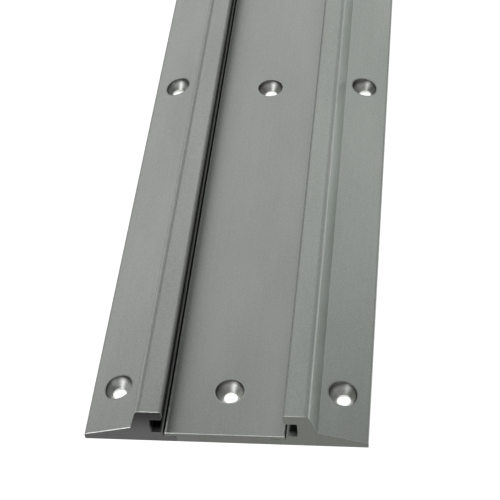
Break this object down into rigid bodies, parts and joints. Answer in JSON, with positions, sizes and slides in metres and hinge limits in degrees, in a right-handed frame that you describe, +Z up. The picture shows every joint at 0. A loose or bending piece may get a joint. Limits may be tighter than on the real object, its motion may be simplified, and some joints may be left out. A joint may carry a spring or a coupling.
{
  "type": "threshold strip",
  "caption": "Low saddle threshold for a doorway: ramped nosings with undercut lips, a flat centre plate lapped between them, and rows of countersunk screw holes.",
  "frame": {"origin": "centre of the strip's footprint on the floor plane, under the middle row of screw holes", "axes": "+Y along the strip (across the doorway), +X from one side of the doorway to the other, +Z up from the floor"},
  "size_m": [0.1, 1.016, 0.0167],
  "materials": {
    "nosing_left_aluminium": "satin anodised extrusion, saw-cut ends",
    "plate_aluminium": "satin anodised extrusion, bare machined countersinks",
    "nosing_right_aluminium": "satin anodised extrusion, saw-cut ends"
  },
  "bodies": {
    "root": {"ramp_nosing_left": "nosing_left_aluminium", "centre_plate": "plate_aluminium", "ramp_nosing_right": "nosing_right_aluminium"}
  },
  "joints": []
}
